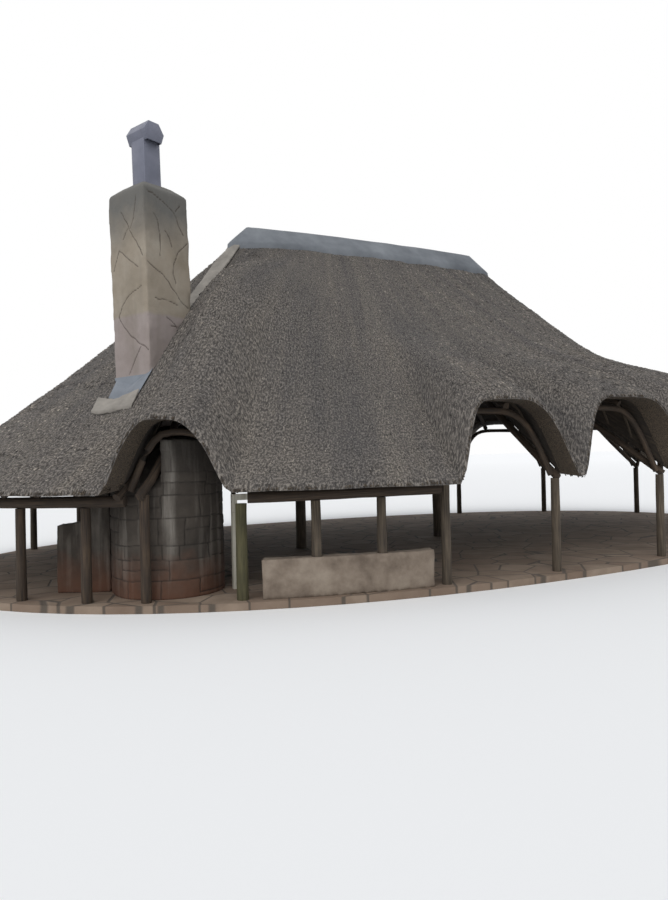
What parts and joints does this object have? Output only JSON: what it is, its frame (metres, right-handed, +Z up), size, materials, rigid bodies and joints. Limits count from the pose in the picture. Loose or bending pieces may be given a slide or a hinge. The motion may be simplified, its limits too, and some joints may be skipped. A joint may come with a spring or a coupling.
{
  "type": "oval thatched open hut with arched eaves and a chimney",
  "caption": "Oval open-sided thatched hut on gum poles, with a short ridge, arched eaves to walk in under, a round fireplace and a square plastered chimney.",
  "frame": {"origin": "on the ground under the middle of the roof's outline", "axes": "+X along the ridge to the right as seen in the picture, +Y to the back, +Z up"},
  "size_m": [15, 8.9416, 5.7924],
  "materials": {
    "thatch": "rough grey thatch",
    "gum_pole": "weathered round timber",
    "pale_timber": "pale timber",
    "plaster": "cracked cream plaster",
    "carved_plaster": "plaster scored as stone blocks",
    "mortar": "weathered mortar",
    "ridge_mortar": "smooth grey-blue cement cap",
    "sheet_metal": "weathered grey-blue sheet metal",
    "paving": "worn stone and cement floor"
  },
  "bodies": {
    "root": {"floor_slab": "paving", "front_low_wall": "carved_plaster", "thatch_front_left": "thatch", "thatch_front_right": "thatch", "thatch_right_end": "thatch", "thatch_back_right": "thatch", "thatch_back_left": "thatch", "thatch_left_end": "thatch", "ridge_cap": "ridge_mortar", "ridge_pole": "gum_pole", "king_posts": "gum_pole", "rafters_front_left": "gum_pole", "rafters_front_right": "gum_pole", "rafters_right_end": "gum_pole", "rafters_back_right": "gum_pole", "rafters_back_left": "gum_pole", "rafters_left_end": "gum_pole", "arch_ribs_front": "gum_pole", "arch_ribs_right": "gum_pole", "arch_ribs_back": "gum_pole", "hearth_arch_rib": "gum_pole", "eave_beam_front": "gum_pole", "eave_beam_left": "gum_pole", "eave_beam_back": "gum_pole", "hearth_posts": "gum_pole", "posts_front": "gum_pole", "posts_left": "gum_pole", "posts_back": "gum_pole", "arcade_posts_front": "gum_pole", "arcade_posts_right": "gum_pole", "arcade_posts_back": "gum_pole", "fireplace_drum": "carved_plaster", "hearth_side_wall": "carved_plaster", "smoke_hood": "carved_plaster", "chimney_stack": "plaster", "chimney_crown": "mortar", "flue_duct": "sheet_metal", "flue_hood": "sheet_metal", "chimney_flashing": "sheet_metal", "mortar_scoop": "plaster", "chimney_saddle": "plaster", "hatch_frame": "pale_timber"}
  },
  "joints": []
}
